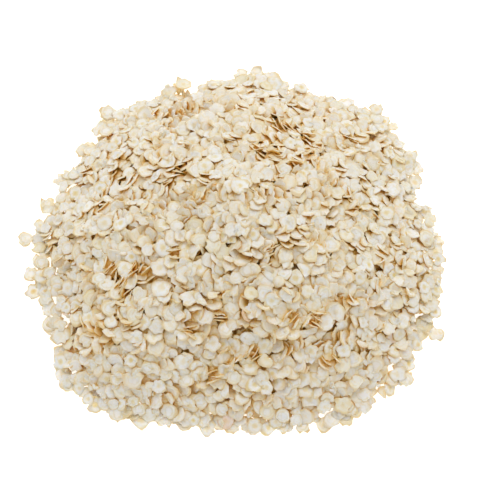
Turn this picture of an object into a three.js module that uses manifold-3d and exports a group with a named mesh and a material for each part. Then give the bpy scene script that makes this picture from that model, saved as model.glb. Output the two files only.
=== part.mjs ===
// A loose heap of quinoa flakes, as poured out on a table: 89 mm wide, 84 mm deep and 21 mm high.
// The heap is one solid. Its core is a mound of flake-sized facets. On it lie the largest of the
// flakes: thin round plates, most of them along the slope like shingles and a few wedged on edge,
// with a fringe of them spilt round the foot. +Z is up, the heap is looked at from -Y, and it
// rests on z = 0.
import * as THREE from "three";
import { mergeVertices } from "three/addons/utils/BufferGeometryUtils.js";
import Module from "manifold-3d";

// Driving dimensions, in millimetres.
const HEAP_RADIUS = 41.1; // mean radius of the core's foot
const HEAP_HEIGHT = 19.4; // of the core at its peak
const SHOULDER_POWER = 1.65; // 1 is a cone, 2 a paraboloid: a poured heap lies between them
const FLAKE_DIAMETER = 3.6; // of a large flake: they run from 2.2 to 4.4
const FLAKE_THICKNESS = 0.4;

// The foot isn't a true circle. It swells and draws in by these lobes, each so many waves round
// it, with a crest at that angle.
const FOOT_LOBES = [
  { waves: 1, swell: 1.6, crest: -56 },
  { waves: 2, swell: 1.55, crest: 10 },
  { waves: 3, swell: 1.05, crest: -31 },
  { waves: 4, swell: 1.25, crest: -45 },
  { waves: 5, swell: 0.3, crest: 17 },
  { waves: 6, swell: 0.55, crest: -15 },
  { waves: 7, swell: 0.5, crest: -21 },
  { waves: 8, swell: 0.7, crest: -2 },
];

// Shallow rolls in the surface, left by the pour: each a train of waves that runs one way.
const SURFACE_ROLLS = [
  { length: 34, height: 0.55, towards: 20 },
  { length: 23, height: 0.4, towards: 105 },
  { length: 15, height: 0.28, towards: 62 },
];

// The core's surface is a web of flat facets, each as wide as a flake and leaning its own way.
const CORE_SPLITS = 16; // facets from the peak down to the foot
const FACET_STEP = 0.4; // the most that a facet's corner stands above or below the slope
const FACET_SHIFT = 0.6; // the most that it lies off its place in the web
const TOE_HEIGHT = 0.15; // the least height of the corners just inside the foot

// The flakes on the slope, and those spilt round the foot.
const SLOPE_FLAKES = 238;
const FOOT_FLAKES = 50;
const FLAKE_SIDES = 6;
const FLAKE_TILT = 17; // the usual lean of a flake against the slope, in degrees
const FLAKE_RISE = 0.2; // the usual height of its middle above the slope
const WEDGED_SHARE = 0.08; // of the flakes, those wedged on edge into the slope
const WEDGED_TILT = 60;
const WEDGED_RISE = 1.0;

const SEED = 23;
const WELD = 0.05; // edges and steps smaller than this are closed up

const degrees = THREE.MathUtils.degToRad;
const wasm = await Module();
wasm.setup();

// A seeded stream of numbers from 0 to 1, so that the heap is the same each time.
function randomStream(seed) {
  let state = seed >>> 0;
  return () => {
    state = (state + 0x6d2b79f5) >>> 0;
    let mixed = Math.imul(state ^ (state >>> 15), state | 1);
    mixed = (mixed + Math.imul(mixed ^ (mixed >>> 7), mixed | 61)) ^ mixed;
    return ((mixed ^ (mixed >>> 14)) >>> 0) / 2 ** 32;
  };
}

const random = randomStream(SEED);
const between = (low, high) => low + (high - low) * random();
const sum = (numbers) => numbers.reduce((total, number) => total + number, 0);

function footRadius(theta) {
  const swells = FOOT_LOBES.map((lobe) => lobe.swell * Math.cos(lobe.waves * (theta - degrees(lobe.crest))));
  return HEAP_RADIUS + sum(swells);
}

// The heap's surface without its facets and flakes.
function slopeHeight(x, y) {
  const shareOut = Math.min(Math.hypot(x, y) / footRadius(Math.atan2(y, x)), 1);
  const mound = HEAP_HEIGHT * (1 - shareOut ** SHOULDER_POWER);
  const rolls = SURFACE_ROLLS.map((roll) => {
    const along = x * Math.cos(degrees(roll.towards)) + y * Math.sin(degrees(roll.towards));
    return roll.height * Math.sin((2 * Math.PI * along) / roll.length);
  });
  return mound + sum(rolls) * (1 - shareOut ** 4);
}

function slopeNormal(x, y) {
  const step = 0.5;
  const riseX = slopeHeight(x + step, y) - slopeHeight(x - step, y);
  const riseY = slopeHeight(x, y + step) - slopeHeight(x, y - step);
  return new THREE.Vector3(-riseX, -riseY, 2 * step).normalize();
}

// A geometry whose faces share their corners.
function welded(geometry) {
  const bare = geometry.clone();
  bare.deleteAttribute("normal");
  bare.deleteAttribute("uv");
  return mergeVertices(bare, 1e-4);
}

// A three.js geometry as a closed solid, ready to join and cut.
function solidOf(geometry) {
  const closed = welded(geometry);
  const mesh = new wasm.Mesh({
    numProp: 3,
    vertProperties: new Float32Array(closed.attributes.position.array),
    triVerts: new Uint32Array(closed.index.array),
  });
  return new wasm.Manifold(mesh);
}

function geometryOf(solid) {
  const mesh = solid.getMesh();
  const geometry = new THREE.BufferGeometry();
  geometry.setAttribute("position", new THREE.BufferAttribute(mesh.vertProperties, mesh.numProp));
  geometry.setIndex(new THREE.BufferAttribute(mesh.triVerts, 1));
  geometry.computeVertexNormals();
  return geometry;
}

// The core is a finely split octahedron. Its upper half is drawn out over the foot and raised to
// the slope, each corner a little off its place, and its lower half is pressed flat.
function heapCore() {
  const geometry = welded(new THREE.OctahedronGeometry(1, CORE_SPLITS - 1).rotateX(Math.PI / 2));
  const position = geometry.attributes.position;
  const corner = new THREE.Vector3();
  for (let i = 0; i < position.count; i++) {
    corner.fromBufferAttribute(position, i);
    const theta = Math.atan2(corner.y, corner.x);
    const shareOut = 1 - Math.asin(Math.min(Math.abs(corner.z), 1)) / (Math.PI / 2);
    const isTop = corner.z > 1e-6;
    const shift = isTop ? FACET_SHIFT : 0;
    const x = shareOut * footRadius(theta) * Math.cos(theta) + between(-shift, shift);
    const y = shareOut * footRadius(theta) * Math.sin(theta) + between(-shift, shift);
    const raised = slopeHeight(x, y) + between(-FACET_STEP, FACET_STEP);
    position.setXYZ(i, x, y, isTop ? Math.max(raised, TOE_HEIGHT) : 0);
  }
  return solidOf(geometry);
}

// One flake: a thin plate with few sides, a little oval, lying flat about the origin.
function flakeGeometry() {
  const radius = 0.5 * FLAKE_DIAMETER * between(0.86, 1.16);
  const stretch = between(0.92, 1.08);
  const geometry = new THREE.CylinderGeometry(radius, radius, FLAKE_THICKNESS, FLAKE_SIDES);
  return geometry.rotateX(Math.PI / 2).scale(stretch, 1 / stretch, 1);
}

// A flake set down at (x, y): turned any way round, and leant by tilt towards any side.
function placedFlake(x, y, rise, tilt) {
  const up = new THREE.Vector3(0, 0, 1);
  const leanSide = between(0, 2 * Math.PI);
  const leanAxis = new THREE.Vector3(Math.cos(leanSide), Math.sin(leanSide), 0);
  const turned = new THREE.Quaternion().setFromAxisAngle(up, between(0, 2 * Math.PI));
  const leant = new THREE.Quaternion().setFromAxisAngle(leanAxis, degrees(tilt));
  const along = new THREE.Quaternion().setFromUnitVectors(up, slopeNormal(x, y));
  const pose = along.multiply(leant).multiply(turned);
  const place = new THREE.Vector3(x, y, slopeHeight(x, y) + rise);
  const matrix = new THREE.Matrix4().compose(place, pose, new THREE.Vector3(1, 1, 1));
  return solidOf(flakeGeometry().applyMatrix4(matrix));
}

// The flakes on the slope are spread evenly by the golden angle, as seeds are in a sunflower.
function slopeFlakes() {
  const goldenAngle = Math.PI * (3 - Math.sqrt(5));
  return Array.from({ length: SLOPE_FLAKES }, (_, i) => {
    const theta = i * goldenAngle;
    const out = 0.95 * Math.sqrt((i + 0.5) / SLOPE_FLAKES) * footRadius(theta);
    const isWedged = random() < WEDGED_SHARE;
    const tilt = isWedged ? WEDGED_TILT : FLAKE_TILT * between(0.4, 1.5);
    const rise = isWedged ? WEDGED_RISE : FLAKE_RISE * between(0.5, 1.6);
    return placedFlake(out * Math.cos(theta), out * Math.sin(theta), rise, tilt);
  });
}

// The fringe: flakes round the foot, each partly on the heap's toe and partly on the table.
function footFlakes() {
  return Array.from({ length: FOOT_FLAKES }, (_, i) => {
    const theta = (2 * Math.PI * (i + between(0, 0.8))) / FOOT_FLAKES;
    const out = footRadius(theta) + between(-0.6, 0.9);
    return placedFlake(out * Math.cos(theta), out * Math.sin(theta), between(0.25, 0.55), between(0, 9));
  });
}

// What reaches below the table is cut off, so that the heap's foot is flat.
function aboveTable() {
  const side = 4 * HEAP_RADIUS;
  return solidOf(new THREE.BoxGeometry(side, side, side).translate(0, 0, side / 2));
}

function heapGeometry() {
  const pieces = [heapCore(), ...slopeFlakes(), ...footFlakes()];
  const joined = wasm.Manifold.union(pieces).intersect(aboveTable());
  const bodies = joined.asOriginal().simplify(WELD).decompose();
  return geometryOf(bodies.reduce((largest, body) => (body.volume() > largest.volume() ? body : largest)));
}

const flakes = new THREE.MeshStandardMaterial({ color: 0xe6d9bc, roughness: 0.8, metalness: 0 });
const heap = new THREE.Mesh(heapGeometry(), flakes);
heap.name = "flake_heap";

// The origin is the middle of the heap's foot.
heap.geometry.computeBoundingBox();
const middle = heap.geometry.boundingBox.getCenter(new THREE.Vector3());
heap.position.set(-middle.x, -middle.y, 0);

const part = new THREE.Group();
part.add(heap);

export default part;
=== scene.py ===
# %% [markdown]
# # A heap of quinoa flakes
# Quinoa flakes are whole grains, steamed soft and pressed between rollers into thin round flakes
# about 3 mm across. Poured out on a table, thousands of them make a low mound. This lesson
# builds that mound flake by flake: first the places where flakes come to rest on each other, then
# their shapes, then the finish of a dry, floury, slightly see-through grain.
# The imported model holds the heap's form as one faceted solid. It is loaded first, because every
# flake here lies where that solid says that the heap is.

# %% Load the frame
import bpy
import math
import numpy as np
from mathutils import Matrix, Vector
from mathutils.bvhtree import BVHTree


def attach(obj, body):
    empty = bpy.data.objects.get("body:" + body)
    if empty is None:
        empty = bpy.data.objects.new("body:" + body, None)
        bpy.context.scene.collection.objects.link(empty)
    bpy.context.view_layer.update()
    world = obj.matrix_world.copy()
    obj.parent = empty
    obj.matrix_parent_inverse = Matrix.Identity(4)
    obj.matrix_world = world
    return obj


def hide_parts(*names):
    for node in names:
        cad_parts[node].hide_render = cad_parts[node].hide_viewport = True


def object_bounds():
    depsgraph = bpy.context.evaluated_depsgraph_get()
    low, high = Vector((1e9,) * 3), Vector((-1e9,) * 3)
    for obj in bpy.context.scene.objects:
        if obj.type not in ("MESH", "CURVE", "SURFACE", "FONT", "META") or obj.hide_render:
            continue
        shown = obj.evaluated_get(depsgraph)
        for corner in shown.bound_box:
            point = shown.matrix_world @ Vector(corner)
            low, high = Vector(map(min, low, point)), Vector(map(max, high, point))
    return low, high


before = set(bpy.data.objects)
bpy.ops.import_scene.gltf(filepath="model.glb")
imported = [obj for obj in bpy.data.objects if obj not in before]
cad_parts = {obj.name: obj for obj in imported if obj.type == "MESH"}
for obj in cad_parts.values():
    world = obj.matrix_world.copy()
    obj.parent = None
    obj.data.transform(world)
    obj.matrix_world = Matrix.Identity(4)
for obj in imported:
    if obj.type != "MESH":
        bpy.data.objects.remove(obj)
cad_low, cad_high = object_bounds()
MM = 0.001  # Blender works in metres, and this lesson in millimetres
print("the solid heap measures", [round(side / MM, 1) for side in cad_high - cad_low], "mm")

# %% [markdown]
# ## Camera
# A table-top photograph of food is taken from well above, with a long lens, so that the near
# flakes are hardly larger than the far ones. A lens that takes in 20 degrees from 30 cm away
# does that. The flakes that lie flat beside the heap look almost round in the photograph, so it
# looks down at about 70 degrees.

# %% Camera
CAMERA_HEIGHT_DEG = 70
CAMERA_DISTANCE = 300 * MM
CAMERA_AIM = Vector((2.4, -0.6, 0)) * MM
FIELD_OF_VIEW_DEG = 20

up_angle = math.radians(CAMERA_HEIGHT_DEG)
backwards = Vector((0, -math.cos(up_angle), math.sin(up_angle)))
camera = bpy.data.objects.new("camera", bpy.data.cameras.new("camera"))
camera.data.angle = math.radians(FIELD_OF_VIEW_DEG)
camera.location = CAMERA_AIM + CAMERA_DISTANCE * backwards
camera.rotation_euler = (math.radians(90 - CAMERA_HEIGHT_DEG), 0, 0)
bpy.context.scene.collection.objects.link(camera)
bpy.context.scene.camera = camera
print("the camera stands at", [round(v / MM) for v in camera.location], "mm")

# %% [markdown]
# ## The form of the heap
# The flakes have to lie on the same mound as the solid. Its height could be worked out again
# from a formula, but reading it off the solid can't drift from it: rays dropped straight down
# on a square grid give the height at each point. The solid carries coarse flakes of its own, so
# the heights are smoothed over one flake's width before they are used.

# %% A grid of heights
GRID_STEP = 0.2  # mm between the points of the fine height grid
GRID_REACH = 49.0  # mm from the origin to the grid's edge


def box_smooth(heights, reach):
    """The mean of each point's neighbours, up to reach points away along each axis."""
    kernel = np.ones(2 * reach + 1) / (2 * reach + 1)
    for axis in (0, 1):
        heights = np.apply_along_axis(np.convolve, axis, heights, kernel, mode="same")
    return heights


def refine(heights, coarse, fine):
    """The same heights on a finer grid, filled in along straight lines."""
    rows = np.array([np.interp(fine, coarse, row) for row in heights])
    return np.array([np.interp(fine, coarse, column) for column in rows.T]).T


grid_line = np.arange(-GRID_REACH, GRID_REACH + GRID_STEP / 2, GRID_STEP)
print("the fine grid has", len(grid_line), "points along each side")

# %% Read the height of the solid
RAY_STEP = 0.8  # mm between rays, which the fine grid fills in
RAY_START = 10 * MM  # how far above the solid the rays begin
FLAKE_WIDTH = 3.4  # mm across the usual flake

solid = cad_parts["flake_heap"]
solid_tree = BVHTree.FromObject(solid, bpy.context.evaluated_depsgraph_get())
ray_line = np.arange(-GRID_REACH, GRID_REACH + RAY_STEP / 2, RAY_STEP)
ray_top = cad_high.z + RAY_START
ray_heights = np.zeros((len(ray_line), len(ray_line)))
for row, y in enumerate(ray_line):
    for column, x in enumerate(ray_line):
        hit = solid_tree.ray_cast(Vector((x * MM, y * MM, ray_top)), Vector((0, 0, -1)))[0]
        ray_heights[row, column] = hit.z / MM if hit else 0.0
smooth_reach = round(FLAKE_WIDTH / 2 / RAY_STEP)
target = refine(box_smooth(box_smooth(ray_heights, smooth_reach), 1), ray_line, grid_line)
lean_y, lean_x = np.gradient(target, GRID_STEP)
print("the smoothed heap is", round(target.max(), 1), "mm high, its steepest slope",
      round(math.degrees(math.atan(np.hypot(lean_x, lean_y).max()))), "degrees")

# %% [markdown]
# ## The core
# In a real heap there are flakes all the way down, but only the outer few layers can be seen.
# The rest is a plain mound a few millimetres below the surface, which shows only as the dark at
# the bottom of the deepest gaps. It could be the solid drawn in, but its coarse flakes would poke
# through, so it is a grid of rings round the middle whose faces stay even out to the foot.

# %% The foot of the core
SHELL = 3.2  # mm of flakes over the core
CORE_LEAST = 0.05  # mm of height at which the core ends
CORE_SPOKES = 120


def height_at(heights, x, y):
    """The height of a grid at points in mm, taken from the nearest grid point."""
    column = np.clip(np.round((x + GRID_REACH) / GRID_STEP).astype(int), 0, len(grid_line) - 1)
    row = np.clip(np.round((y + GRID_REACH) / GRID_STEP).astype(int), 0, len(grid_line) - 1)
    return heights[row, column]


core_heights = np.maximum(target - SHELL, 0.0)
spoke_angles = np.linspace(0, 2 * math.pi, CORE_SPOKES, endpoint=False)
out_line = np.arange(0, GRID_REACH, GRID_STEP)
core_foot = []
for angle in spoke_angles:
    along = height_at(core_heights, out_line * math.cos(angle), out_line * math.sin(angle))
    core_foot.append(out_line[np.nonzero(along > CORE_LEAST)[0].max()])
print("the core's foot lies", round(min(core_foot), 1), "to", round(max(core_foot), 1), "mm out")

# %% Build the core
CORE_RINGS = 40


def new_piece(name, mesh):
    """A new object with this mesh, in the scene's own collection."""
    piece = bpy.data.objects.new(name, mesh)
    bpy.context.scene.collection.objects.link(piece)
    return piece


core_points = [(0, 0, height_at(core_heights, np.array(0.0), np.array(0.0)))]
for ring in range(1, CORE_RINGS + 1):
    for angle, foot in zip(spoke_angles, core_foot):
        x, y = (foot * ring / CORE_RINGS * turn for turn in (math.cos(angle), math.sin(angle)))
        core_points.append((x, y, height_at(core_heights, np.array(x), np.array(y))))
core_points += [(x, y, 0) for x, y, z in core_points[-CORE_SPOKES:]]
core_faces = []
for spoke in range(CORE_SPOKES):
    beside = (spoke + 1) % CORE_SPOKES
    core_faces.append((0, 1 + spoke, 1 + beside))
    for ring in range(CORE_RINGS):
        inner = 1 + ring * CORE_SPOKES
        outer = inner + CORE_SPOKES
        core_faces.append((inner + spoke, outer + spoke, outer + beside, inner + beside))
bottom_ring = 1 + CORE_RINGS * CORE_SPOKES
core_faces.append(tuple(bottom_ring + spoke for spoke in reversed(range(CORE_SPOKES))))
core_mesh = bpy.data.meshes.new("inner_flakes")
core_mesh.from_pydata([tuple(value * MM for value in point) for point in core_points], [], core_faces)
core_mesh.shade_smooth()
core = new_piece("inner_flakes", core_mesh)
print("the core has", len(core_faces), "faces and stands", round(core_heights.max(), 1), "mm high")

# %% [markdown]
# ## Calm flakes and wedged flakes
# Most flakes of a poured heap lie calmly on the others. Some are wedged in between them, askew,
# and neighbours lean much the same way, as the pour pushed them over together. Each could be
# leant by a chance of its own, but then no two neighbours would agree. So a coarse grid of
# pushes is drawn and filled in smoothly. Near the foot the layer is thin and flakes lie calm.

# %% Push the flakes over in patches
WEDGED_SHARE = 0.3
CALM_RIM = 10.0  # mm of height below which ever fewer flakes are wedged, and none at the foot
PUSH_PITCH = 6.0  # mm from one patch of flakes pushed over together to the next
PUSH_LEAN_MOST = 1.5  # as rise over run
PILE_SEED = 11

rng = np.random.default_rng(PILE_SEED)
wedged_chance = WEDGED_SHARE * np.clip(target / CALM_RIM, 0, 1)
push_line = np.arange(-GRID_REACH, GRID_REACH + PUSH_PITCH, PUSH_PITCH)
push_side = rng.uniform(0, 2 * math.pi, (len(push_line),) * 2)
push_lean = rng.uniform(0, PUSH_LEAN_MOST, push_side.shape)
push_x = refine(push_lean * np.cos(push_side), push_line, grid_line)
push_y = refine(push_lean * np.sin(push_side), push_line, grid_line)
print("flakes are pushed over in", push_side.size, "patches, and at the top",
      round(100 * float(wedged_chance.max())), "% of them are wedged")

# %% [markdown]
# ## Where the next flakes land
# The heap so far is a grid of heights, and a pour fills its low spots. Flakes could be dropped
# one at a time, but Python is slow at thousands of small steps and numpy quick at a few large
# ones. So a batch of flakes settles at once. Its sites are so far apart that the flakes hardly
# ever touch, and each is moved to the spot near it where most is missing from the form.

# %% Pick the sites
WIDTH_LEAST, WIDTH_MOST = 2.3, 4.4  # mm, of the flakes' widths
SITE_PITCH = 7.2  # mm between flakes that settle at the same time
SITE_SEARCH = 1.3  # mm round a site in which the lowest spot is looked for
SITE_COVER = 1.5  # sites reach past the grid by this factor, to cover it whichever way they turn


def window(reach):
    """The steps, down and across, to every grid point up to reach mm away."""
    count = int(round(reach / GRID_STEP))
    steps = np.arange(-count, count + 1)
    down, across = np.meshgrid(steps, steps, indexing="ij")
    return down.ravel(), across.ravel()


def grid_index(position):
    """The row or column of the grid that is nearest to a position in mm."""
    return np.round((position + GRID_REACH) / GRID_STEP).astype(int)


def pick_sites(missing):
    """Sites far enough apart to settle at once, each where most is missing near it."""
    turn = rng.uniform(0, math.pi / 2)
    count = int(GRID_REACH * SITE_COVER / SITE_PITCH)
    steps = np.arange(-count, count + 1) * SITE_PITCH
    u, v = (line.ravel() for line in np.meshgrid(steps + rng.uniform(0, SITE_PITCH),
                                                 steps + rng.uniform(0, SITE_PITCH)))
    x = u * math.cos(turn) - v * math.sin(turn)
    y = u * math.sin(turn) + v * math.cos(turn)
    edge = GRID_REACH - WIDTH_MOST
    keep = (abs(x) < edge) & (abs(y) < edge)
    row, column = grid_index(y[keep]), grid_index(x[keep])
    down, across = window(SITE_SEARCH)
    near_rows, near_columns = row[:, None] + down, column[:, None] + across
    near_missing = missing[near_rows, near_columns]
    best = near_missing.argmax(axis=1)
    each = np.arange(len(best))
    return near_rows[each, best], near_columns[each, best], near_missing[each, best]


print("the lowest spot is looked for among", len(window(SITE_SEARCH)[0]), "grid points")

# %% [markdown]
# ## Tip the flakes to rest
# A physics engine could drop thousands of thin discs, but it would take minutes and shake them
# apart. A flake that lands on a heap does something simpler. It tips until it rests on three
# high spots round its middle, which is the plane that brings its middle as low as it can go
# while every point under it stays clear. That plane can be found by tipping the flake, step by
# step, towards whichever spot holds it up. Friction stops some flakes early, so they stay askew,
# and a wedged flake doesn't tip but is let in among its neighbours.

# %% Tip a batch of flakes to rest
TIP_STEPS = 26
TIP_PUSH = 0.3  # the first step's tip, as a slope, for a flake of 1 mm radius
LEAN_MOST = 3.2  # the steepest slope of a flake, as rise over run
LEAN_LEAST = 1e-6  # a flake that lies flatter than this counts as flat
CALM_LEAN = 0.36  # the usual chance lean at landing
WEDGED_LEAN = 0.55  # the same for a wedged flake
WEDGED_DEEP_LEAST, WEDGED_DEEP_MOST = 0.3, 0.65  # the share of a wedged flake that is let in
EASES = [0.15, 0.5, 1.0]  # how freely flakes tip: 1 has no friction
EASE_SHARES = [0.45, 0.25, 0.3]


def landing_lean(rows, columns, wedged):
    """The slopes at which flakes land: the heap's, a chance lean and, if wedged, the push."""
    lean = np.stack([lean_x[rows, columns], lean_y[rows, columns]], axis=1)
    push = np.stack([push_x[rows, columns], push_y[rows, columns]], axis=1)
    lean += np.where(wedged, WEDGED_LEAN, CALM_LEAN)[:, None] * rng.normal(size=lean.shape)
    return lean + wedged[:, None] * push


def settle_batch(pile, rows, columns, radius, wedged):
    """Tips the flakes at these grid points to rest, and gives their slopes and heights."""
    down, across = window(WIDTH_MOST / 2)
    dx, dy = across * GRID_STEP, down * GRID_STEP
    under = pile[rows[:, None] + down, columns[:, None] + across]
    each = np.arange(len(rows))
    lean = landing_lean(rows, columns, wedged)
    ease = np.where(wedged, 0.0, rng.choice(EASES, len(rows), p=EASE_SHARES))

    def gaps_under(slopes):
        rise = slopes[:, :1] * dx + slopes[:, 1:] * dy
        inside = dx**2 + dy**2 + rise**2 <= radius[:, None] ** 2
        return np.where(inside, under - rise, -np.inf), inside, rise

    gap, inside, rise = gaps_under(lean)
    touch = gap.argmax(axis=1)
    best_height, best_lean = gap[each, touch], lean.copy()
    for step in range(TIP_STEPS):
        tip = TIP_PUSH * (1 - step / TIP_STEPS) * ease / radius
        lean = lean + tip[:, None] * np.stack([dx[touch], dy[touch]], axis=1)
        steep = np.hypot(lean[:, 0], lean[:, 1])
        lean *= np.minimum(1, LEAN_MOST / np.maximum(steep, LEAN_LEAST))[:, None]
        gap, inside, rise = gaps_under(lean)
        touch = gap.argmax(axis=1)
        height = gap[each, touch]
        better = height < best_height
        best_height = np.where(better, height, best_height)
        best_lean[better] = lean[better]
    gap, inside, rise = gaps_under(best_lean)
    deep = rng.uniform(WEDGED_DEEP_LEAST, WEDGED_DEEP_MOST, len(rows)) * wedged
    held_at = (deep * inside.sum(axis=1)).astype(int)
    height = np.sort(gap, axis=1)[each, -1 - held_at]
    return best_lean, height, inside, rise


print("a flake is held up by the highest of up to", len(window(WIDTH_MOST / 2)[0]), "grid points")

# %% Raise the pile to their tops
RESTING_THICKNESS = 0.2  # mm that a flake adds to the pile, less than its own, as flakes nest


def add_to_pile(pile, rows, columns, lean, height, inside, rise):
    """Raises the grid to the tops of the flakes that have just come to rest."""
    down, across = window(WIDTH_MOST / 2)
    upright = RESTING_THICKNESS * np.sqrt(1 + (lean**2).sum(axis=1))
    top = height[:, None] + rise + upright[:, None]
    at = (rows[:, None] + down)[inside], (columns[:, None] + across)[inside]
    pile[at] = np.maximum(pile[at], top[inside])


print("flakes in a stack lie", RESTING_THICKNESS, "mm apart")

# %% [markdown]
# ## Rows of cards
# Here and there a few flakes don't lie along the slope but stand in a row on edge, like cards in
# a box, and show as thin parallel lines. Tipping would never leave them standing, so each row is
# set where the photograph shows one. The form is lowered there first, to leave them room.

# %% Rows of cards
# For each row: the x and y of its middle in mm, how many flakes, the side that they face in
# degrees, and how steeply they stand in degrees.
CARD_ROWS = [
    (-1.7, 19.4, 4, 71, 62),
    (3.4, 16.9, 5, 71, 65),
    (7.5, 15.3, 5, 79, 64),
    (11.6, 14.2, 4, 82, 63),
    (14.6, 21.7, 4, 71, 62),
    (17.0, 19.3, 3, 71, 64),
    (14.0, 16.2, 3, 99, 61),
    (19.7, 9.5, 3, 171, 74),
    (-26.0, -7.8, 4, 142, 68),
    (-23.7, -10.6, 4, 148, 70),
    (-22.6, -13.8, 4, 154, 72),
    (-20.3, -9.4, 4, 150, 72),
    (-17.6, -10.6, 3, 127, 66),
    (-12.5, -6.7, 3, 105, 63),
    (11.5, -20.1, 4, 144, 69),
    (15.6, -19.5, 4, 64, 64),
    (2.8, -25.8, 4, 144, 70),
    (-1.4, -26.5, 3, 137, 66),
    (-4.1, -19.4, 3, 81, 62),
    (18.0, -26.7, 3, 43, 68),
    (-4.4, -29.2, 3, 111, 64),
    (-9.9, -21.6, 3, 85, 62),
    (-28.7, 6.2, 3, 122, 65),
    (29.0, -3.9, 3, 48, 66),
    (22.5, -15.2, 3, 28, 70),
    (6.4, -7.1, 3, 111, 63),
    (-32.0, 16.0, 3, 120, 62),
    (-6.0, 8.1, 3, 74, 62),
    (25.0, 22.5, 3, 60, 63),
]
CARD_PITCH = 0.75  # mm between the flakes of a row
CARD_ROOM = 0.55  # mm by which the form is lowered for them
CARD_ROOM_REACH = 1.5  # mm, how far that spreads from each flake
CARD_SINK = 0.25  # mm by which their middles lie under the heap's surface
CARD_SPREAD = 0.42  # mm, of their places
CARD_TURN_SPREAD = 11  # degrees, of their facing and steepness
CARD_LEAST, CARD_MOST = 0.85, 1.1  # their widths, as shares of the usual one

by_hand = {"x": [], "y": [], "z": [], "lean": [], "radius": [], "small": []}


def set_by_hand(x, y, sunk, lean, radius):
    """Adds a flake at a named place, with its middle so many mm under the heap's surface."""
    ground = float(height_at(target, np.array(x), np.array(y)))
    flake = {"x": x, "y": y, "z": ground - sunk, "lean": lean, "radius": radius, "small": False}
    for name, value in flake.items():
        by_hand[name].append(value)


form = target.copy()
grid_x, grid_y = np.meshgrid(grid_line, grid_line)
for row_x, row_y, count, side, steep in CARD_ROWS:
    for number in range(count):
        side_angle = math.radians(side + rng.normal(0, CARD_TURN_SPREAD))
        slope = math.tan(math.radians(steep + rng.normal(0, CARD_TURN_SPREAD)))
        along = (number - (count - 1) / 2) * CARD_PITCH
        x = row_x + along * math.cos(math.radians(side)) + rng.normal(0, CARD_SPREAD)
        y = row_y + along * math.sin(math.radians(side)) + rng.normal(0, CARD_SPREAD)
        lean = (-slope * math.cos(side_angle), -slope * math.sin(side_angle))
        set_by_hand(x, y, CARD_SINK, lean, FLAKE_WIDTH / 2 * rng.uniform(CARD_LEAST, CARD_MOST))
        # The room is level in its middle, with a steep edge.
        room = np.exp(-(((grid_x - x) ** 2 + (grid_y - y) ** 2) / CARD_ROOM_REACH**2) ** 2)
        form = np.minimum(form, target - CARD_ROOM * room)
form = np.maximum(form, 0)
print(len(by_hand["x"]), "flakes stand in rows")

# %% [markdown]
# ## Strays
# A few flakes slid clear of the heap and lie almost flat on the table, just off its edge. Many
# more ran out to the foot itself, where they lie a little apart, so that the edge is ragged. The
# strays could be left to chance too, but each stands out against the white, so their places are
# named one by one. Those at the foot are many, and are spread round it by chance.

# %% Strays
STRAYS = [(-45.1, 1.7), (-42.8, -10.0), (30.1, 32.1), (37.2, 20.8), (40.9, -19.1), (34.3, -28.9),
          (22.1, -34.6), (25.4, -32.5)]  # x and y in mm
STRAY_LEAN = 0.12  # the usual slope at which one lies
STRAY_LEAST, STRAY_MOST = 0.9, 1.1  # their widths, as shares of the usual one

for x, y in STRAYS:
    lean = tuple(rng.normal(0, STRAY_LEAN, 2))
    lift = STRAY_LEAN * FLAKE_WIDTH / 2
    set_by_hand(x, y, -lift, lean, FLAKE_WIDTH / 2 * rng.uniform(STRAY_LEAST, STRAY_MOST))
print(len(STRAYS), "flakes lie beside the heap")

# %% Places round the foot
RIM_BATCHES = 4
RIM_FLAKES = 14  # in each batch, spread round the whole foot
RIM_INNER, RIM_OUTER = -0.9, 1.3  # mm from the foot to their middles
TOE_LEAST = 0.5  # mm of height at which the form still counts as heap


def rim_places():
    """Grid rows and columns of flakes spread round the foot, at chance distances from it."""
    angles = (np.arange(RIM_FLAKES) + rng.random(RIM_FLAKES)) * 2 * math.pi / RIM_FLAKES
    rows, columns = [], []
    for angle in angles:
        along = height_at(target, out_line * math.cos(angle), out_line * math.sin(angle))
        foot = out_line[np.nonzero(along > TOE_LEAST)[0].max()] + rng.uniform(RIM_INNER, RIM_OUTER)
        rows.append(grid_index(foot * math.sin(angle)))
        columns.append(grid_index(foot * math.cos(angle)))
    return np.array(rows), np.array(columns)


print(RIM_BATCHES * RIM_FLAKES, "flakes are to lie round the foot")

# %% [markdown]
# ## Let the flakes settle
# The rows and the strays have their places, and now the rest of the heap comes to rest. The
# flakes at the foot are first, so that the heap's toe lies over them. Then each batch settles
# where most is missing. A flake that would stand too proud of the form is taken away again, as
# on a real heap it would have slid on down.

# %% Settle the flakes round the foot
WIDTH_SPREAD = 0.36  # mm, of the flakes' widths round the usual one

flakes = {"x": [], "y": [], "z": [], "lean": [], "radius": [], "small": []}


def draw_widths(count):
    """The widths of so many whole flakes, in mm."""
    return np.clip(rng.normal(FLAKE_WIDTH, WIDTH_SPREAD, count), WIDTH_LEAST, WIDTH_MOST)


def keep_flakes(rows, columns, height, lean, radius, small):
    """Adds a batch of settled flakes to the lists of all flakes."""
    kept = {"x": grid_line[columns], "y": grid_line[rows], "z": height, "lean": lean,
            "radius": radius, "small": small}
    for name, values in kept.items():
        flakes[name].append(values)


pile = core_heights.copy()
for batch in range(RIM_BATCHES):
    rows, columns = rim_places()
    radius = draw_widths(len(rows)) / 2
    lying = np.zeros(len(rows), bool)
    lean, height, inside, rise = settle_batch(pile, rows, columns, radius, lying)
    add_to_pile(pile, rows, columns, lean, height, inside, rise)
    keep_flakes(rows, columns, height, lean, radius, lying)
print(sum(len(group) for group in flakes["x"]), "flakes lie round the foot")

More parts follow.
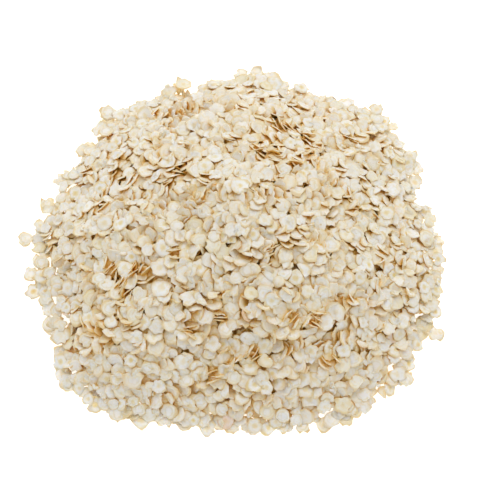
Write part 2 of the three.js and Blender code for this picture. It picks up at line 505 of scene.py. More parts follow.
# %% Settle the rest of the heap
# The heap is filled twice, the second time without small bits, and then its deep holes are
# covered. For each phase: how many batches, how many mm below the form another flake still fits,
# how many mm a raised edge may stand proud, and the share of broken bits.
PHASES = [(30, 0.2, 0.9, 0.08), (85, 0.4, 0.9, 0.0), (12, 1.1, 1.3, 0.0)]
SMALL_LEAST, SMALL_MOST = 0.35, 0.7  # the widths of broken bits, as shares of a whole flake's
WEDGED_PROUD = 0.5  # mm that a wedged flake may stand further proud
HOLE_DEPTH = 1.0  # mm below the form that counts as a hole

covered = target > TOE_LEAST
for phase, (batches, missing_least, proud_most, small_share) in enumerate(PHASES):
    for batch in range(batches):
        rows, columns, missing = pick_sites(form - pile)
        on_heap = (missing > missing_least) & (target[rows, columns] > TOE_LEAST)
        rows, columns = rows[on_heap], columns[on_heap]
        width = draw_widths(len(rows))
        small = rng.random(len(rows)) < small_share
        radius = np.where(small, width * rng.uniform(SMALL_LEAST, SMALL_MOST, len(rows)), width) / 2
        wedged = rng.random(len(rows)) < wedged_chance[rows, columns]
        lean, height, inside, rise = settle_batch(pile, rows, columns, radius, wedged)
        steep = np.hypot(lean[:, 0], lean[:, 1])
        proud = height + radius * steep / np.sqrt(1 + steep**2) - form[rows, columns]
        fits = proud < proud_most + WEDGED_PROUD * wedged
        add_to_pile(pile, rows[fits], columns[fits], lean[fits], height[fits], inside[fits], rise[fits])
        keep_flakes(rows[fits], columns[fits], height[fits], lean[fits], radius[fits], small[fits])
    print("phase", phase, "has", sum(len(group) for group in flakes["x"]), "flakes, and",
          round(100 * float((target - pile > HOLE_DEPTH)[covered].mean()), 1), "% lies in deep holes")
flakes = {name: np.concatenate(lists + [by_hand[name]]) for name, lists in flakes.items()}
print(len(flakes["x"]), "flakes; the pile is", round(pile.max(), 1), "mm high and",
      round(float((pile - target)[covered].mean()), 2), "mm over the form on average")

# %% [markdown]
# ## One flake
# A rolled flake is a thin disc with an uneven outline. The germ of a quinoa grain runs round it
# like a ring, and stays as a raised, golden rim with a notch where its two ends meet. The floury
# middle dries a little hollow. A flake could be sculpted and scanned, but a few rings of points
# round the middle, pushed about by a handful of named amounts, give as many different flakes as
# are wanted, with few faces each.

# %% The shape of a flake
FLAKE_SIDES = 15
# The rings of a flake, from the middle of its top, over its rim, to its underside: how far out
# each is, and how high, as shares of the flake's radius.
FLAKE_RINGS = [(0.56, 0.13), (0.85, 0.145), (1.0, 0.05), (0.94, 0.0)]
MIDDLE_HEIGHT = 0.125
RIDGE_HEIGHT = 0.12  # rings above this are uneven
OUTLINE_WOBBLE = 0.08
DENT_CHANCE, DENT_LEAST, DENT_MOST = 0.2, 0.08, 0.24  # at each corner, as shares of the radius
RIDGE_WOBBLE = 0.03
RIDGE_WANDER = 0.07  # how far the inner rings stray from a true circle
CREASE_ANGLE = 34  # degrees, past which two faces meet in a sharp crease
FLAKE_RADIUS = FLAKE_WIDTH / 2

flake_angles = np.arange(FLAKE_SIDES) * 2 * math.pi / FLAKE_SIDES


def flake_mesh(name, seed, outline, bend):
    """A flake of the usual width, whose outline function gives its reach at each angle."""
    draw = np.random.default_rng(seed)
    angles = flake_angles
    reach = outline(angles, draw) * (1 + OUTLINE_WOBBLE * draw.normal(size=FLAKE_SIDES))
    dents = draw.uniform(DENT_LEAST, DENT_MOST, FLAKE_SIDES)
    reach = reach - dents * (draw.random(FLAKE_SIDES) < DENT_CHANCE)
    cup, warp, warp_side = draw.normal(0, bend), draw.normal(0, bend), draw.uniform(0, math.pi)
    points = [(0, 0, MIDDLE_HEIGHT)]
    for out, height in FLAKE_RINGS:
        uneven = RIDGE_WOBBLE * draw.normal(size=FLAKE_SIDES) * (height > RIDGE_HEIGHT)
        wander = RIDGE_WANDER * draw.normal(size=FLAKE_SIDES) * (height > RIDGE_HEIGHT)
        x, y = (out + wander) * reach * np.cos(angles), (out + wander) * reach * np.sin(angles)
        points += list(zip(x, y, height + uneven))
    points = np.array(points)
    out_square = (points[:, :2] ** 2).sum(axis=1)
    bearing = np.arctan2(points[:, 1], points[:, 0])
    bent = points.copy()
    bent[:, 2] += out_square * (cup + warp * np.cos(2 * (bearing - warp_side)))
    faces = [(0, 1 + i, 1 + (i + 1) % FLAKE_SIDES) for i in range(FLAKE_SIDES)]
    for ring in range(len(FLAKE_RINGS) - 1):
        inner = 1 + ring * FLAKE_SIDES
        outer = inner + FLAKE_SIDES
        for i in range(FLAKE_SIDES):
            j = (i + 1) % FLAKE_SIDES
            faces.append((inner + i, outer + i, outer + j, inner + j))
    last = 1 + (len(FLAKE_RINGS) - 1) * FLAKE_SIDES
    faces.append(tuple(last + i for i in reversed(range(FLAKE_SIDES))))
    mesh = bpy.data.meshes.new(name)
    mesh.from_pydata([tuple(p) for p in bent * FLAKE_RADIUS * MM], [], faces)
    mesh.shade_smooth()
    mesh.set_sharp_from_angle(angle=math.radians(CREASE_ANGLE))
    place = mesh.attributes.new("on_flake", "FLOAT_VECTOR", "POINT")
    place.data.foreach_set("vector", points.astype(np.float32).ravel())
    return mesh


print("a flake is", round(max(height for out, height in FLAKE_RINGS) * FLAKE_RADIUS, 2),
      "mm thick at its ridge")

# %% [markdown]
# ## Outlines
# No two flakes have the same outline. An outline here is a rule that gives the flake's reach at
# each angle, as a share of its radius: two waves round it make it oval, three make it egg-shaped,
# and chords and dents make what broke off it. Simple rules like these can be told apart and
# tuned one by one, which a traced outline can't.

# %% Outlines
OVAL_WAVES, EGG_WAVES = 2, 3  # round the flake
ROUND_OVAL, ROUND_EGG = 0.05, 0.03  # the most that these waves swell a round flake
OVAL_LEAST, OVAL_MOST, OVAL_EGG = 0.06, 0.14, 0.04
CORNERS_LEAST, CORNERS_MOST = 4, 6
CORNER_SWELL_LEAST, CORNER_SWELL_MOST = 0.03, 0.07
NOTCH_LEAST, NOTCH_MOST = 0.12, 0.36
NOTCH_HALF_LEAST, NOTCH_HALF_MOST = 0.25, 0.45  # half the notch's width, in radians
CRACKS_LEAST, CRACKS_MOST = 2, 3
CRACK_LEAST, CRACK_MOST = 0.66, 0.88  # what a crack leaves of the reach
BREAK_LEAST, BREAK_MOST = 0.15, 0.55  # how far off the middle a broken edge runs
BREAK_WOBBLE = 0.1
FACING_LEAST = 0.05  # angles that face the broken edge less than this don't meet it
WHOLE_REACH = 9.0  # more than any outline reaches


def swell(angles, draw, waves, least, most):
    """So many waves round the flake, as factors of its reach, with a crest at a chance angle."""
    return 1 + draw.uniform(least, most) * np.cos(waves * (angles - draw.uniform(0, math.pi)))


def round_outline(angles, draw):
    oval = swell(angles, draw, OVAL_WAVES, 0, ROUND_OVAL)
    return oval * swell(angles, draw, EGG_WAVES, 0, ROUND_EGG)


def oval_outline(angles, draw):
    oval = swell(angles, draw, OVAL_WAVES, OVAL_LEAST, OVAL_MOST)
    return oval * swell(angles, draw, EGG_WAVES, 0, OVAL_EGG)


def cornered_outline(angles, draw):
    corners = draw.integers(CORNERS_LEAST, CORNERS_MOST + 1)
    bulge = swell(angles, draw, corners, CORNER_SWELL_LEAST, CORNER_SWELL_MOST)
    return round_outline(angles, draw) * bulge


def notched_outline(angles, draw):
    from_notch = np.abs((angles + math.pi) % (2 * math.pi) - math.pi)
    width = draw.uniform(NOTCH_HALF_LEAST, NOTCH_HALF_MOST)
    notch = draw.uniform(NOTCH_LEAST, NOTCH_MOST) * np.exp(-((from_notch / width) ** 2))
    return round_outline(angles, draw) - notch


def cracked_outline(angles, draw):
    reach = oval_outline(angles, draw)
    for crack in range(draw.integers(CRACKS_LEAST, CRACKS_MOST + 1)):
        reach[draw.integers(0, len(reach))] *= draw.uniform(CRACK_LEAST, CRACK_MOST)
    return reach


def broken_outline(angles, draw):
    side, depth = draw.uniform(0, 2 * math.pi), draw.uniform(BREAK_LEAST, BREAK_MOST)
    facing = np.cos(angles - side)
    chord = np.where(facing > FACING_LEAST, depth / np.maximum(facing, FACING_LEAST), WHOLE_REACH)
    uneven = 1 + BREAK_WOBBLE * draw.normal(size=len(angles))
    return np.minimum(oval_outline(angles, draw), chord * uneven)


broken = broken_outline(flake_angles, np.random.default_rng(PILE_SEED))
print("one broken flake reaches", round(broken.min(), 2), "to", round(broken.max(), 2), "radii out")

# %% [markdown]
# ## Kinds of flake
# Most flakes come off the rollers whole: round, oval or with blunt corners. Some are notched
# where the germ's ends meet, some have cracked rims, some dried curled and some broke in two.
# Each kind is a small set of different shapes, from which each place on the heap draws one. One
# shape for all would show as a pattern, and a shape for each place would be slow to make.

# %% Make the kinds
# For each kind: its outline, how much it bends, how many shapes it has, and its share.
KINDS = {
    "round_flakes": (round_outline, 0.08, 8, 0.22),
    "oval_flakes": (oval_outline, 0.09, 7, 0.19),
    "cornered_flakes": (cornered_outline, 0.08, 7, 0.17),
    "notched_flakes": (notched_outline, 0.08, 7, 0.15),
    "cracked_flakes": (cracked_outline, 0.1, 7, 0.11),
    "curled_flakes": (round_outline, 0.16, 6, 0.10),
    "broken_flakes": (broken_outline, 0.06, 6, 0.06),
}
SEEDS_APART = 100  # from one kind's first shape to the next kind's

shapes = {}
for number, (kind, (outline, bend, variants, share)) in enumerate(KINDS.items()):
    shapes[kind] = bpy.data.collections.new(kind + "_shapes")
    for variant in range(variants):
        mesh = flake_mesh(f"{kind}_{variant}", SEEDS_APART * number + variant, outline, bend)
        shapes[kind].objects.link(bpy.data.objects.new(mesh.name, mesh))

# %% [markdown]
# ## Node helper
# Every node tree here is built in code. Each node could take a line for each of its options and
# inputs. One function is shorter: it adds a node, sets its options, and links or sets its inputs.
# Colours are given as they are on a screen, and turned to linear by the sRGB standard's numbers.

# %% Add a node
MIX_BELOW, MIX_ABOVE, MIX_RESULT = 6, 7, 2  # the colour sockets of a Mix node


def add_node(tree, kind, inputs=None, stops=(), **settings):
    """Adds a node. inputs maps a socket's name or number to a value, or to a socket to link,
    and stops are the (position, hex colour) pairs of a colour ramp."""
    node = tree.nodes.new(kind)
    for name, value in settings.items():
        setattr(node, name, value)
    for key, value in (inputs or {}).items():
        if isinstance(value, bpy.types.NodeSocket):
            tree.links.new(value, node.inputs[key])
        else:
            node.inputs[key].default_value = value
    for number, (position, code) in enumerate(stops):
        elements = node.color_ramp.elements
        element = elements[number] if number < len(elements) else elements.new(position)
        element.position = position
        element.color = hex_colour(code)
    return node


def hex_colour(code):
    """An sRGB colour such as "#E6D9BC", as the linear colour that shaders work in."""
    parts = [int(code[i:i + 2], 16) / 255 for i in (1, 3, 5)]
    return tuple(c / 12.92 if c <= 0.04045 else ((c + 0.055) / 1.055) ** 2.4 for c in parts) + (1,)


print("cream is", [round(v, 3) for v in hex_colour("#E6D9BC")])

# %% [markdown]
# ## The finish of a flake
# A quinoa flake is steamed grain that was pressed thin between steel rollers and dried. Pressing
# left it floury and matt, off-white in the middle and golden along the germ and round the rim,
# where skin is left. It is thin enough to let light through. A photograph of real flakes could be
# laid on it, but it would repeat on thousands of flakes. Here noise and colour ramps draw rings
# and patches that are new on each flake. The pattern belongs to the flake and not to the heap, so
# it reads each point's place on its own flake, which was kept as an attribute.

# %% Rings of the heart and the germ
# From the middle of a flake to its rim, on one with a golden heart and on one with a golden germ.
GOLDEN_HEART = [(0.0, "#E6CA80"), (0.2, "#EBD8A2"), (0.4, "#F2EFE6"), (0.6, "#F3F3F0"), (0.78, "#EBE3CE"),
                (0.95, "#E3CE98")]
GOLDEN_GERM = [(0.0, "#F2F2F0"), (0.4, "#F0EEE9"), (0.54, "#E3DAC2"), (0.68, "#F1EDE0"), (0.95, "#E4CC98")]
GERM_FROM, GERM_FULL = 0.3, 0.6  # the chances between which a golden heart gives way to a germ
RING_LEAST = 0.35  # how strongly the rings show on the flake that has them palest
NOTCH_AT, NOTCH_END, NOTCH_LEFT = 0.95, 0.1, 0.15  # where the rings fade, and what stays of them
RING_WANDER_SIZE = 1.0  # mm across a usual bulge of a ring
RING_WANDER = 0.8  # how far a ring wanders, as a share of the flake's radius
NOISE_DETAIL = 3.0  # finer waves on the bulges and patches
NOISE_MIDDLE = 0.5  # the noise's own middle value


def ring_distance(tree, place, chance):
    """How far out a point is on its flake, and the same wandering, as no ring is a true circle."""
    flat = add_node(tree, "ShaderNodeVectorMath", {0: place, 1: (1, 1, 0)}, operation="MULTIPLY")
    out = add_node(tree, "ShaderNodeVectorMath", {0: flat.outputs[0]}, operation="LENGTH").outputs["Value"]
    waves = add_node(tree, "ShaderNodeTexNoise", {"Vector": place, "W": chance, "Detail": NOISE_DETAIL,
                     "Scale": FLAKE_RADIUS / RING_WANDER_SIZE}, noise_dimensions="4D").outputs["Fac"]
    wander = add_node(tree, "ShaderNodeMath", {0: waves, 1: NOISE_MIDDLE}, operation="SUBTRACT").outputs[0]
    ring = add_node(tree, "ShaderNodeMath", {0: wander, 1: RING_WANDER, 2: out},
                    operation="MULTIPLY_ADD").outputs[0]
    return out, ring


def golden_rings(tree, ring, sides, chances):
    """The rings' colour, and how strongly they show. They fade at the germ's notch, which is on
    the flake's own +X side, and differ in strength from flake to flake."""
    heart = add_node(tree, "ShaderNodeValToRGB", {"Fac": ring}, stops=GOLDEN_HEART).outputs["Color"]
    germ = add_node(tree, "ShaderNodeValToRGB", {"Fac": ring}, stops=GOLDEN_GERM).outputs["Color"]
    germ_share = add_node(tree, "ShaderNodeMapRange", {"Value": chances["Red"], "From Min": GERM_FROM,
                          "From Max": GERM_FULL}).outputs[0]
    colour = add_node(tree, "ShaderNodeMix", {0: germ_share, MIX_BELOW: heart, MIX_ABOVE: germ},
                      data_type="RGBA").outputs[MIX_RESULT]
    closed = add_node(tree, "ShaderNodeMapRange", {"Value": sides["X"], "From Min": NOTCH_AT,
                      "From Max": NOTCH_END, "To Min": NOTCH_LEFT},
                      interpolation_type="SMOOTHSTEP").outputs[0]
    strong = add_node(tree, "ShaderNodeMapRange", {"Value": chances["Green"],
                      "To Min": RING_LEAST}).outputs[0]
    share = add_node(tree, "ShaderNodeMath", {0: closed, 1: strong}, operation="MULTIPLY").outputs[0]
    return colour, share


print("a ring wanders up to", round(RING_WANDER / 2 * FLAKE_RADIUS, 1), "mm to either side")

# %% [markdown]
# ## Painted shade: gold in the crevices
# Light that comes out of a crevice between flakes has been through several of them, and each took
# some of its blue, so crevices glow golden and turn brown only at their bottom. Many more bounces of
# light would bring some of that, but slowly. So the crevices get painted shade: the shader feels how
# much of the sky its neighbours hide from each point, and paints it the more golden the more they
# hide. The white table throws light back up, so flakes close to it get less of this painted shade.

# %% Painted shade: gold in the crevices
# Painted shade: the colours of a crevice, from where it begins to its bottom.
PAINTED_CREVICE_SHADE = [(0.0, "#F2E6C0"), (0.3, "#F6DD92"), (0.6, "#F7CE62"), (1.0, "#E9B340")]
CREVICE_REACH = 2.8  # mm round a point in which other flakes shade it
CREVICE_STARTS, CREVICE_FULL = 0.13, 0.85  # how much of the sky they hide
CREVICE_RAYS = 6  # tries that feel for them, enough for so soft a change
TABLE_LIGHT_FULL, TABLE_LIGHT_ENDS = 0.5, 1.6  # mm over the table: no gold, and all of it


def painted_crevice_shade(tree):
    """The painted shade of the crevices: the colour that light has in a crevice, and how deep in one each
    point lies.
    """
    shade = add_node(tree, "ShaderNodeAmbientOcclusion", {"Distance": CREVICE_REACH * MM},
                     samples=CREVICE_RAYS)
    hidden = add_node(tree, "ShaderNodeMath", {0: 1.0, 1: shade.outputs["AO"]},
                      operation="SUBTRACT").outputs[0]
    between = add_node(tree, "ShaderNodeMapRange", {"Value": hidden, "From Min": CREVICE_STARTS,
                       "From Max": CREVICE_FULL}, interpolation_type="SMOOTHSTEP").outputs[0]
    where = add_node(tree, "ShaderNodeTexCoord").outputs["Object"]
    over_table = add_node(tree, "ShaderNodeSeparateXYZ", {0: where}).outputs["Z"]
    off_table = add_node(tree, "ShaderNodeMapRange", {"Value": over_table,
                         "From Min": TABLE_LIGHT_FULL * MM,
                         "From Max": TABLE_LIGHT_ENDS * MM}).outputs[0]
    deep = add_node(tree, "ShaderNodeMath", {0: between, 1: off_table}, operation="MULTIPLY").outputs[0]
    painted_shade_colour = add_node(tree, "ShaderNodeValToRGB", {"Fac": deep}, stops=PAINTED_CREVICE_SHADE).outputs["Color"]
    return painted_shade_colour, deep


print("crevices turn golden where over", round(100 * CREVICE_STARTS), "% of the sky is hidden")

# %% [markdown]
# ## Marks on a flake
# Where the rollers and the steam left some of the skin and the germ, a flake has marks: patches
# of cream, a tan edge that is partly skin and partly painted shade, and on a rare flake the blush
# of red skin. Its underside gets painted shade in gold. They could be painted on each shape, but
# the same marks would come back on every copy. So each is a share that the flake's own noise,
# place and chance decide.

# %% Marks on a flake
MOTTLE_CREAM = "#ECD8A0"
MOTTLE_STARTS, MOTTLE_FULL, MOTTLE_MOST = 0.5, 0.72, 0.8  # of the noise, and their share at most
# The tan edge is partly the skin left round the rim and partly painted shade of the rim's sides.
EDGE_TAN_AND_SHADE = "#DCC498"
EDGE_STARTS, EDGE_MOST = 0.8, 0.5  # how far out it starts, and its share at the very edge
# Painted shade: the underside of a flake, turned away from the light, is painted gold.
UNDERSIDE_SHADE_GOLD = "#E5C890"
UNDERSIDE_SHADE_STARTS, UNDERSIDE_SHADE_MOST = 0.06, 0.35  # how high over the underside, and its share right there
BLUSH_PINK = "#E6B5A0"
BLUSH_FROM, BLUSH_FULL, BLUSH_MOST = 0.997, 0.998, 0.4  # the chances, and its share at most


def flake_marks(tree, mottle, out, sides, chances):
    """The marks from the lowest up, with painted shade on the underside and partly on the edge: how
    strongly each shows, and its colour.
    """
    mottle_share = add_node(tree, "ShaderNodeMapRange", {"Value": mottle, "From Min": MOTTLE_STARTS,
                            "From Max": MOTTLE_FULL, "To Max": MOTTLE_MOST}).outputs[0]
    # The tan edge: partly skin, partly painted shade.
    edge_share = add_node(tree, "ShaderNodeMapRange", {"Value": out, "From Min": EDGE_STARTS,
                          "From Max": 1.0, "To Max": EDGE_MOST}).outputs[0]
    # The golden underside is painted shade.
    underside_shade_share = add_node(tree, "ShaderNodeMapRange", {"Value": sides["Z"], "From Min": UNDERSIDE_SHADE_STARTS,
                          "From Max": 0.0, "To Max": UNDERSIDE_SHADE_MOST}).outputs[0]
    blush_share = add_node(tree, "ShaderNodeMapRange", {"Value": chances["Blue"],
                           "From Min": BLUSH_FROM, "From Max": BLUSH_FULL,
                           "To Max": BLUSH_MOST}).outputs[0]
    return [(mottle_share, hex_colour(MOTTLE_CREAM)), (edge_share, hex_colour(EDGE_TAN_AND_SHADE)),
            (underside_shade_share, hex_colour(UNDERSIDE_SHADE_GOLD)), (blush_share, hex_colour(BLUSH_PINK))]


print("about one flake in", round(1 / (1 - BLUSH_FULL)), "has a full blush")

# %% [markdown]
# ## Rolled quinoa
# The material lays all this over the bare starch: first the rings, then the marks, and the painted
# shade of the crevices last. Each could be a material of its own, but on real flakes they run into one
# another. The flour on the face is too fine to show, so it is drawn as bumps as wide as the patches.

# %% The rolled quinoa material
STARCH = [(0.0, "#F5F5F4"), (0.28, "#EBE1CA"), (0.45, "#F2F1EF"), (0.62, "#E2DACB"), (0.8, "#F1F0EC"),
          (1.0, "#E9DAB0")]  # one colour for each flake
MOTTLE_SIZE = 0.7  # mm across a usual patch
MOTTLE_ROUGHNESS = 0.65  # how ragged the patches are
CHANCE_SPREAD = 37.0  # spreads flakes of like tone far apart in the noise
FLOURY_ROUGHNESS = 0.55
STARCH_SPECULAR = 0.5  # with the default IOR of 1.5, which is close to that of starch
THROUGH_SHARE = 0.35  # of the light goes through the flake instead of off its face
THROUGH_REACH = 0.4  # mm that it travels inside
THROUGH_COLOURS = (1.0, 0.85, 0.65)  # blue light travels less far than red
GRAIN_STRENGTH, GRAIN_DEPTH = 0.3, 0.2  # of the floury bumps; the depth in mm


def rolled_quinoa():
    """Steamed grain, pressed between rollers and dried: a matt floury face with soft golden
    marks and hardly any shine, and an edge that light comes through."""
    material = bpy.data.materials.new("rolled_quinoa")
    material.use_nodes = True
    tree = material.node_tree
    shader = tree.nodes["Principled BSDF"]
    place = add_node(tree, "ShaderNodeAttribute", attribute_name="on_flake").outputs["Vector"]
    tone = add_node(tree, "ShaderNodeAttribute", attribute_name="tone").outputs["Fac"]
    sides = add_node(tree, "ShaderNodeSeparateXYZ", {0: place}).outputs
    chance = add_node(tree, "ShaderNodeMath", {0: tone, 1: CHANCE_SPREAD}, operation="MULTIPLY").outputs[0]
    dice = add_node(tree, "ShaderNodeTexWhiteNoise", {"W": chance}, noise_dimensions="1D")
    chances = add_node(tree, "ShaderNodeSeparateColor", {0: dice.outputs["Color"]}).outputs
    out, ring = ring_distance(tree, place, chance)
    rings, ring_share = golden_rings(tree, ring, sides, chances)
    painted_shade_colour, crevice = painted_crevice_shade(tree)
    mottle = add_node(tree, "ShaderNodeTexNoise", {"Vector": place, "W": chance, "Detail": NOISE_DETAIL,
                      "Scale": FLAKE_RADIUS / MOTTLE_SIZE, "Roughness": MOTTLE_ROUGHNESS},
                      noise_dimensions="4D").outputs["Fac"]
    marks = flake_marks(tree, mottle, out, sides, chances)
    colour = add_node(tree, "ShaderNodeValToRGB", {"Fac": tone}, stops=STARCH).outputs["Color"]
    # The rings, the marks, and last the painted shade of the crevices, each mixed over the colour so far.
    for share, over in [(ring_share, rings)] + marks + [(crevice, painted_shade_colour)]:
        colour = add_node(tree, "ShaderNodeMix", {0: share, MIX_BELOW: colour, MIX_ABOVE: over},
                          data_type="RGBA").outputs[MIX_RESULT]
    bump = add_node(tree, "ShaderNodeBump", {"Height": mottle, "Strength": GRAIN_STRENGTH,
                                             "Distance": GRAIN_DEPTH * MM})
    tree.links.new(colour, shader.inputs["Base Color"])
    tree.links.new(bump.outputs["Normal"], shader.inputs["Normal"])
    shader.inputs["Roughness"].default_value = FLOURY_ROUGHNESS
    shader.inputs["Specular IOR Level"].default_value = STARCH_SPECULAR
    shader.inputs["Subsurface Weight"].default_value = THROUGH_SHARE
    shader.inputs["Subsurface Radius"].default_value = THROUGH_COLOURS
    shader.inputs["Subsurface Scale"].default_value = THROUGH_REACH * MM
    return material


quinoa = rolled_quinoa()
print("the flakes' material has", len(quinoa.node_tree.nodes), "nodes")

# %% [markdown]
# ## Flakes in the shade
# The core stands for the same flakes deep inside, where only light that has been through many of
# them arrives. Real flakes could go on down to the middle, but nobody would see them. A patch of
# amber for each flake's width, with a hollow in it, is all that shows at the bottom of a gap.

# %% The material of the core
DEEP_SHADE = [(0.0, "#C78D3E"), (0.6, "#A0662A")]  # from the middle of a patch to its border
SHADE_ROUGHNESS = 0.8
SHADE_BUMP, SHADE_DEPTH = 0.6, 0.4  # the strength of the hollows, and their depth in mm


def flakes_in_shade():
    """Rolled quinoa seen by what light is left: dull amber, with hardly any shine."""
    material = bpy.data.materials.new("flakes_in_shade")
    material.use_nodes = True
    tree = material.node_tree
    shader = tree.nodes["Principled BSDF"]
    where = add_node(tree, "ShaderNodeTexCoord").outputs["Object"]
    cells = add_node(tree, "ShaderNodeTexVoronoi", {"Vector": where, "Scale": 1 / (FLAKE_WIDTH * MM)})
    out = cells.outputs["Distance"]
    colour = add_node(tree, "ShaderNodeValToRGB", {"Fac": out}, stops=DEEP_SHADE).outputs["Color"]
    bump = add_node(tree, "ShaderNodeBump", {"Height": out, "Strength": SHADE_BUMP,
                                             "Distance": SHADE_DEPTH * MM})
    tree.links.new(colour, shader.inputs["Base Color"])
    tree.links.new(bump.outputs["Normal"], shader.inputs["Normal"])
    shader.inputs["Roughness"].default_value = SHADE_ROUGHNESS
    return material


core.data.materials.append(flakes_in_shade())
print("materials:", [material.name for material in bpy.data.materials])

# %% [markdown]
# ## Scatter the flakes
# The settled places become a cloud of points, each with the way that it faces and its width. A
# Geometry Nodes tree puts a flake on each: it turns the flake's axis to the facing, spins it by
# chance, picks one of the kind's shapes, and makes the lot real. Python could copy the meshes
# point by point just as well, but the tree does it in one go, and its seed alone changes the lot.

# %% The scatter tree
WHOLE_LEAST, WHOLE_MOST, WHOLE_RESULT = 4, 5, 2  # a Random Value node's sockets for whole numbers
SHAPE_DRAW_MOST = 1000  # far more than there are shapes: the count starts over after the last


def scatter_tree():
    """The tree that sets one of a kind's shapes on each place and makes them all real."""
    tree = bpy.data.node_groups.new("scatter_flakes", "GeometryNodeTree")
    sockets = tree.interface
    sockets.new_socket("Places", in_out="INPUT", socket_type="NodeSocketGeometry")
    sockets.new_socket("Shapes", in_out="INPUT", socket_type="NodeSocketCollection")
    sockets.new_socket("Finish", in_out="INPUT", socket_type="NodeSocketMaterial")
    sockets.new_socket("Seed", in_out="INPUT", socket_type="NodeSocketInt")
    sockets.new_socket("Flakes", in_out="OUTPUT", socket_type="NodeSocketGeometry")
    given = add_node(tree, "NodeGroupInput").outputs
    facing = add_node(tree, "GeometryNodeInputNamedAttribute", {"Name": "facing"},
                      data_type="FLOAT_VECTOR").outputs["Attribute"]
    size = add_node(tree, "GeometryNodeInputNamedAttribute", {"Name": "size"},
                    data_type="FLOAT").outputs["Attribute"]
    aligned = add_node(tree, "FunctionNodeAlignRotationToVector", {"Vector": facing}, axis="Z")
    spin = add_node(tree, "FunctionNodeRandomValue", {"Max": 2 * math.pi, "Seed": given["Seed"]})
    spin_angles = add_node(tree, "ShaderNodeCombineXYZ", {"Z": spin.outputs["Value"]})
    turned = add_node(tree, "FunctionNodeRotateRotation", {"Rotation": aligned.outputs[0],
                      "Rotate By": spin_angles.outputs[0]}, rotation_space="LOCAL")
    shape_number = add_node(tree, "FunctionNodeRandomValue",
                            {WHOLE_LEAST: 0, WHOLE_MOST: SHAPE_DRAW_MOST, "Seed": given["Seed"]},
                            data_type="INT").outputs[WHOLE_RESULT]
    kinds = add_node(tree, "GeometryNodeCollectionInfo", {"Collection": given["Shapes"],
                     "Separate Children": True, "Reset Children": True})
    placed = add_node(tree, "GeometryNodeInstanceOnPoints",
                      {"Points": given["Places"], "Instance": kinds.outputs[0],
                       "Pick Instance": True, "Instance Index": shape_number,
                       "Rotation": turned.outputs[0], "Scale": size})
    chance = add_node(tree, "FunctionNodeRandomValue", {"Seed": given["Seed"]})
    toned = add_node(tree, "GeometryNodeStoreNamedAttribute",
                     {"Geometry": placed.outputs[0], "Name": "tone", "Value": chance.outputs[1]},
                     data_type="FLOAT", domain="INSTANCE")
    real = add_node(tree, "GeometryNodeRealizeInstances", {"Geometry": toned.outputs[0]})
    finished = add_node(tree, "GeometryNodeSetMaterial", {"Geometry": real.outputs[0],
                                                          "Material": given["Finish"]})
    add_node(tree, "NodeGroupOutput", {"Flakes": finished.outputs[0]})
    return tree


tree = scatter_tree()
print("the scatter tree has", len(tree.nodes), "nodes")

# %% [markdown]
# ## Put the flakes in place
# All the flakes could be one piece, but it would be too large to export whole, so each kind of
# flake is scattered as a piece of its own. The tree runs once for each, its result is kept as plain
# mesh, and its points are let go. What reaches below the table by a hair is lifted onto it.

# %% Put the flakes in place
TABLE_CLEARANCE = 0.01 * MM  # no flake at the foot reaches lower
SCATTER_SEED = 7  # of the first kind; each of the next has the next seed


def places_mesh(name, chosen):
    """The chosen flakes' places as loose points that carry their facing and size."""
    lean = flakes["lean"][chosen]
    facing = np.column_stack([-lean, np.ones(len(lean))])
    facing /= np.linalg.norm(facing, axis=1, keepdims=True)
    where = np.column_stack([flakes[axis][chosen] for axis in "xyz"])
    mesh = bpy.data.meshes.new(name)
    mesh.vertices.add(len(where))
    mesh.vertices.foreach_set("co", (where * MM).astype(np.float32).ravel())
    sizes = mesh.attributes.new("size", "FLOAT", "POINT")
    sizes.data.foreach_set("value", (flakes["radius"][chosen] / FLAKE_RADIUS).astype(np.float32))
    facings = mesh.attributes.new("facing", "FLOAT_VECTOR", "POINT")
    facings.data.foreach_set("vector", facing.astype(np.float32).ravel())
    return mesh


def scatter(kind, chosen, seed):
    """Runs the scatter tree on the chosen places, and gives the result as a plain piece."""
    carrier = new_piece(kind + "_places", places_mesh(kind + "_places", chosen))
    modifier = carrier.modifiers.new("scatter", "NODES")
    modifier.node_group = tree
    settings = {"Shapes": shapes[kind], "Finish": quinoa, "Seed": seed}
    for socket in tree.interface.items_tree:
        if socket.in_out == "INPUT" and socket.name in settings:
            modifier[socket.identifier] = settings[socket.name]
    evaluated = carrier.evaluated_get(bpy.context.evaluated_depsgraph_get())
    mesh = bpy.data.meshes.new_from_object(evaluated)
    mesh.name = kind
    points = np.zeros(3 * len(mesh.vertices), np.float32)
    mesh.vertices.foreach_get("co", points)
    points[2::3] = np.maximum(points[2::3], TABLE_CLEARANCE)
    mesh.vertices.foreach_set("co", points)
    bpy.data.objects.remove(carrier)
    return new_piece(kind, mesh)


lot = rng.random(len(flakes["x"]))
shares = np.cumsum([share for outline, bend, variants, share in KINDS.values()])
kind_number = np.searchsorted(shares / shares[-1], lot)
kind_number[flakes["small"]] = list(KINDS).index("broken_flakes")
pieces = [core]
for number, kind in enumerate(KINDS):
    piece = scatter(kind, np.nonzero(kind_number == number)[0], SCATTER_SEED + number)
    triangles = sum(len(polygon.vertices) - 2 for polygon in piece.data.polygons)
    print(kind, "has", int((kind_number == number).sum()), "flakes and", triangles, "triangles")
    pieces.append(piece)

# %% [markdown]
# ## Table and light
# The heap lies on a plain white table in soft light, most of it from above and behind, so that
# the slope nearest the camera is a little darker than the far one. A studio can't quite be copied
# lamp by lamp. An even white sky gives the soft shade between flakes, two wide lamps give the
# slope its light and shade, and a little glow keeps the table as white as the photograph's.

# %% The table
TABLE_REACH = 1.5  # metres
TABLE_WHITE = "#F3F3F3"
TABLE_ROUGHNESS = 0.9
TABLE_GLOW = 0.8
GLOW_WHITE = "#FFFFFF"

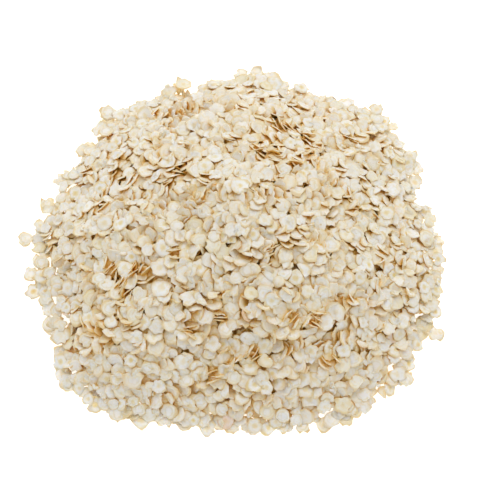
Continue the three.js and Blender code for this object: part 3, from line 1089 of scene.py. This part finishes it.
corners = [(-TABLE_REACH, -TABLE_REACH, 0), (TABLE_REACH, -TABLE_REACH, 0),
           (TABLE_REACH, TABLE_REACH, 0), (-TABLE_REACH, TABLE_REACH, 0)]
table = bpy.data.meshes.new("table")
table.from_pydata(corners, [], [(0, 1, 2, 3)])
table_top = new_piece("table_top", table)
# Acrylic, cast in a sheet, rubbed matt and lit from below: even white, with hardly a reflection.
table_paint = bpy.data.materials.new("white_acrylic")
table_paint.use_nodes = True
table_shader = table_paint.node_tree.nodes["Principled BSDF"]
table_shader.inputs["Base Color"].default_value = hex_colour(TABLE_WHITE)
table_shader.inputs["Roughness"].default_value = TABLE_ROUGHNESS
table_shader.inputs["Emission Color"].default_value = hex_colour(GLOW_WHITE)
table_shader.inputs["Emission Strength"].default_value = TABLE_GLOW
table.materials.append(table_paint)
print("the table is", 2 * TABLE_REACH, "m wide")

# %% The light
WORLD_STRENGTH = 0.615
# For each light: where it stands and how wide it is, in metres, and how strong, in watts.
SOFTBOXES = {
    "back_softbox": ((0.04, 0.34, 0.6), 0.7, 2.25),
    "front_softbox": ((-0.1, -0.4, 0.55), 0.6, 0.15),
}

world = bpy.data.worlds.new("studio")
world.use_nodes = True
sky = world.node_tree.nodes["Background"]
sky.inputs["Color"].default_value = hex_colour(GLOW_WHITE)
sky.inputs["Strength"].default_value = WORLD_STRENGTH
bpy.context.scene.world = world
for name, (place, width, power) in SOFTBOXES.items():
    softbox = bpy.data.objects.new(name, bpy.data.lights.new(name, "AREA"))
    softbox.data.size = width
    softbox.data.energy = power
    softbox.location = place
    softbox.rotation_euler = (-softbox.location).to_track_quat("-Z", "Y").to_euler()
    bpy.context.scene.collection.objects.link(softbox)
    print(name, "stands", round(softbox.location.length, 2), "m away")
bpy.context.scene.view_settings.view_transform = "Standard"  # white comes out as plain white

# %% [markdown]
# ## Hand the pieces over
# Every piece rides on the heap's one body, and together they stand in for the solid, which is hidden.
# Parenting them by hand would move them too, but these calls also make the body if it is missing and keep
# each piece where it stands.

# %% Hand over
for piece in pieces:
    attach(piece, "root")
    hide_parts("flake_heap")
